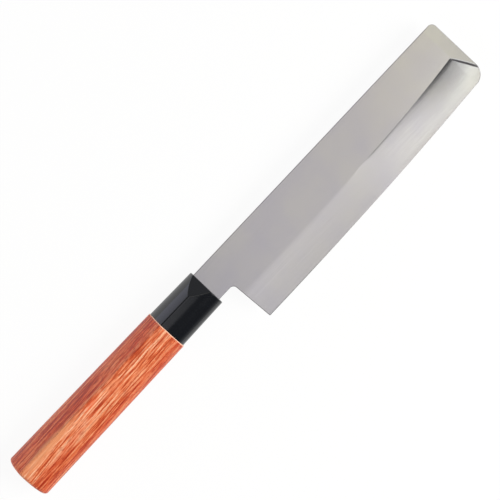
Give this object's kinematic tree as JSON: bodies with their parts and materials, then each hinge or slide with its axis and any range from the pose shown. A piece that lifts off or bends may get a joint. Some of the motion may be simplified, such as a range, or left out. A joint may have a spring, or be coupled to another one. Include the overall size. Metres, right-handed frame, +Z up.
{
  "type": "nakiri knife",
  "caption": "Square-fronted vegetable knife with wide bevels on both sides, a hidden tang and a D-section wooden handle with a black plastic ferrule.",
  "frame": {"origin": "under the middle of the whole knife, at the level of its lowest point, with the knife lying level on its left side", "axes": "+X along the knife to the tip, +Y from the edge to the spine, +Z up, out of the blade's right side"},
  "size_m": [0.3104, 0.0462, 0.0204],
  "materials": {
    "blade_steel": "satin stainless steel, ground",
    "ferrule_plastic": "polished black moulded plastic",
    "handle_wood": "polished red laminated wood, filled with resin",
    "bedding_resin": "cured resin, hidden",
    "joint_adhesive": "cured adhesive, hidden"
  },
  "bodies": {
    "root": {"blade": "blade_steel", "ferrule": "ferrule_plastic", "handle_body": "handle_wood", "tang_bedding": "bedding_resin", "ferrule_adhesive": "joint_adhesive"}
  },
  "joints": []
}
